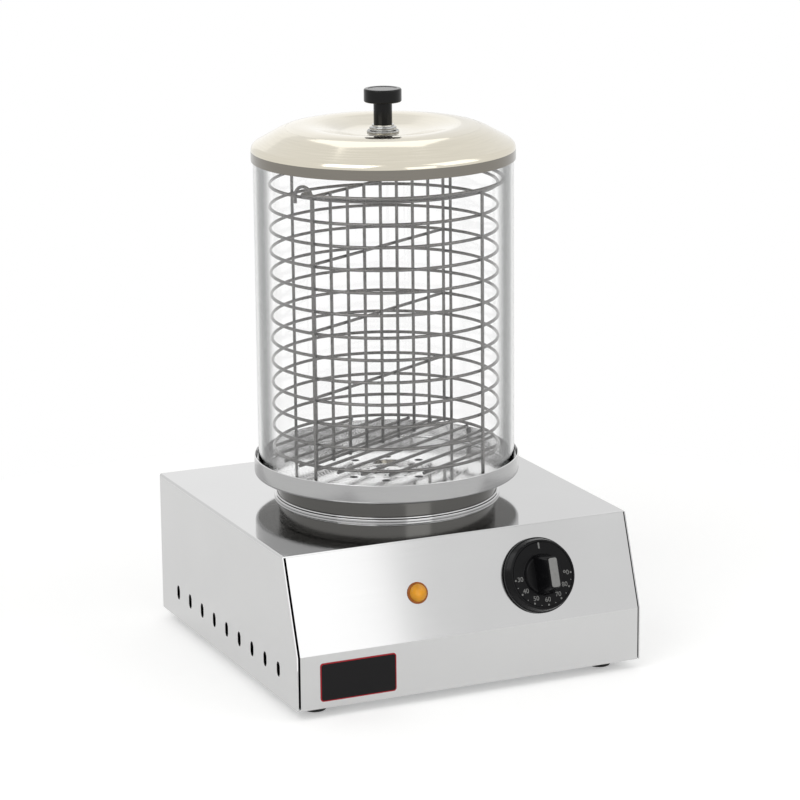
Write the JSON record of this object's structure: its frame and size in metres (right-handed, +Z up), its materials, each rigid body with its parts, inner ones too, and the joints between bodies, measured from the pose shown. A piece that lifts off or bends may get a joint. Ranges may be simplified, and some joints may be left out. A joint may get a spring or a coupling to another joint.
{
  "type": "hot dog steamer",
  "caption": "Countertop hot dog steamer: square steel base with a dial and lamp, a steam tray, a glass cylinder with a domed lid, and a divided wire basket inside.",
  "frame": {"origin": "middle of the housing's footprint, on the surface the feet stand on", "axes": "+Z up, -Y towards the control panel, +X to the right of someone facing the control panel"},
  "size_m": [0.284, 0.3249, 0.4385],
  "materials": {
    "steel": "stainless steel, polished to a soft mirror",
    "pan_steel": "drawn stainless steel, polished",
    "tray_steel": "drawn stainless steel, polished",
    "lid_steel": "stainless steel, mirror polished",
    "zinc_plate": "zinc plated sheet, dull",
    "screw_steel": "plated steel, satin",
    "capillary_steel": "stainless tube, satin",
    "element_aluminium": "cast aluminium, rough",
    "collar_chrome": "bright chrome",
    "basket_wire": "bright chrome plated wire",
    "brass": "plain brass",
    "foot_rubber": "matt black rubber",
    "black_plastic": "matt black plastic",
    "bezel_plastic": "moulded lamp ring, glossy",
    "knob_plastic": "black moulded plastic, semi gloss",
    "amber_lens": "translucent amber plastic",
    "clear_glass": "clear glass, smooth"
  },
  "bodies": {
    "base": {"housing_cover": "steel", "front_panel": "steel", "rear_panel": "steel", "base_plate": "zinc_plate", "housing_screws": "screw_steel", "rubber_feet": "foot_rubber", "foot_studs": "screw_steel", "foot_nuts": "screw_steel", "boiler_pan": "pan_steel", "heating_element": "element_aluminium", "element_clamp_plate": "zinc_plate", "clamp_stud": "screw_steel", "clamp_nut": "screw_steel", "overheat_cutout": "black_plastic", "terminal_block": "black_plastic", "earth_stud": "brass", "cable_gland": "black_plastic", "gland_nut": "black_plastic", "thermostat_body": "black_plastic", "thermostat_screws": "screw_steel", "thermostat_bulb": "capillary_steel", "capillary_tube": "capillary_steel", "lamp_bezel": "bezel_plastic", "lamp_lens": "amber_lens", "lamp_body": "black_plastic"},
    "dial": {"thermostat_knob": "knob_plastic", "thermostat_spindle": "screw_steel"},
    "tray": {"steam_tray": "tray_steel"},
    "glass": {"glass_cylinder": "clear_glass"},
    "lid": {"lid": "lid_steel", "lid_knob": "knob_plastic", "lid_knob_collar": "collar_chrome", "lid_knob_screw": "screw_steel"},
    "basket": {"basket_rings": "basket_wire", "basket_posts": "basket_wire", "basket_floor": "basket_wire", "divider_grid": "basket_wire"},
    "bail": {"basket_bail": "basket_wire"}
  },
  "joints": [
    {"name": "dial_turn", "type": "hinge", "parent": "base", "child": "dial", "pos_m": [0.0605, -0.13067, 0.08255], "axis": [0, 0.9418, -0.3361], "range_deg": [0, 275]},
    {"name": "tray_lift", "type": "slide", "parent": "base", "child": "tray", "axis": [0, 0, 1], "range_m": [0, 0.1]},
    {"name": "glass_lift", "type": "slide", "parent": "tray", "child": "glass", "axis": [0, 0, 1], "range_m": [0, 0.25]},
    {"name": "lid_lift", "type": "slide", "parent": "glass", "child": "lid", "axis": [0, 0, 1], "range_m": [0, 0.56]},
    {"name": "basket_lift", "type": "slide", "parent": "tray", "child": "basket", "axis": [0, 0, 1], "range_m": [0, 0.28]},
    {"name": "bail_swing", "type": "hinge", "parent": "basket", "child": "bail", "pos_m": [-0.00375, 0.0191, 0.3697], "axis": [-0.866, -0.5, 0], "range_deg": [0, 110]}
  ],
  "couplings": [
    {"joint": "basket_lift", "follows": "lid_lift", "ratio": 0.5},
    {"joint": "bail_swing", "follows": "lid_lift", "rad_per_m": 3.4282}
  ]
}
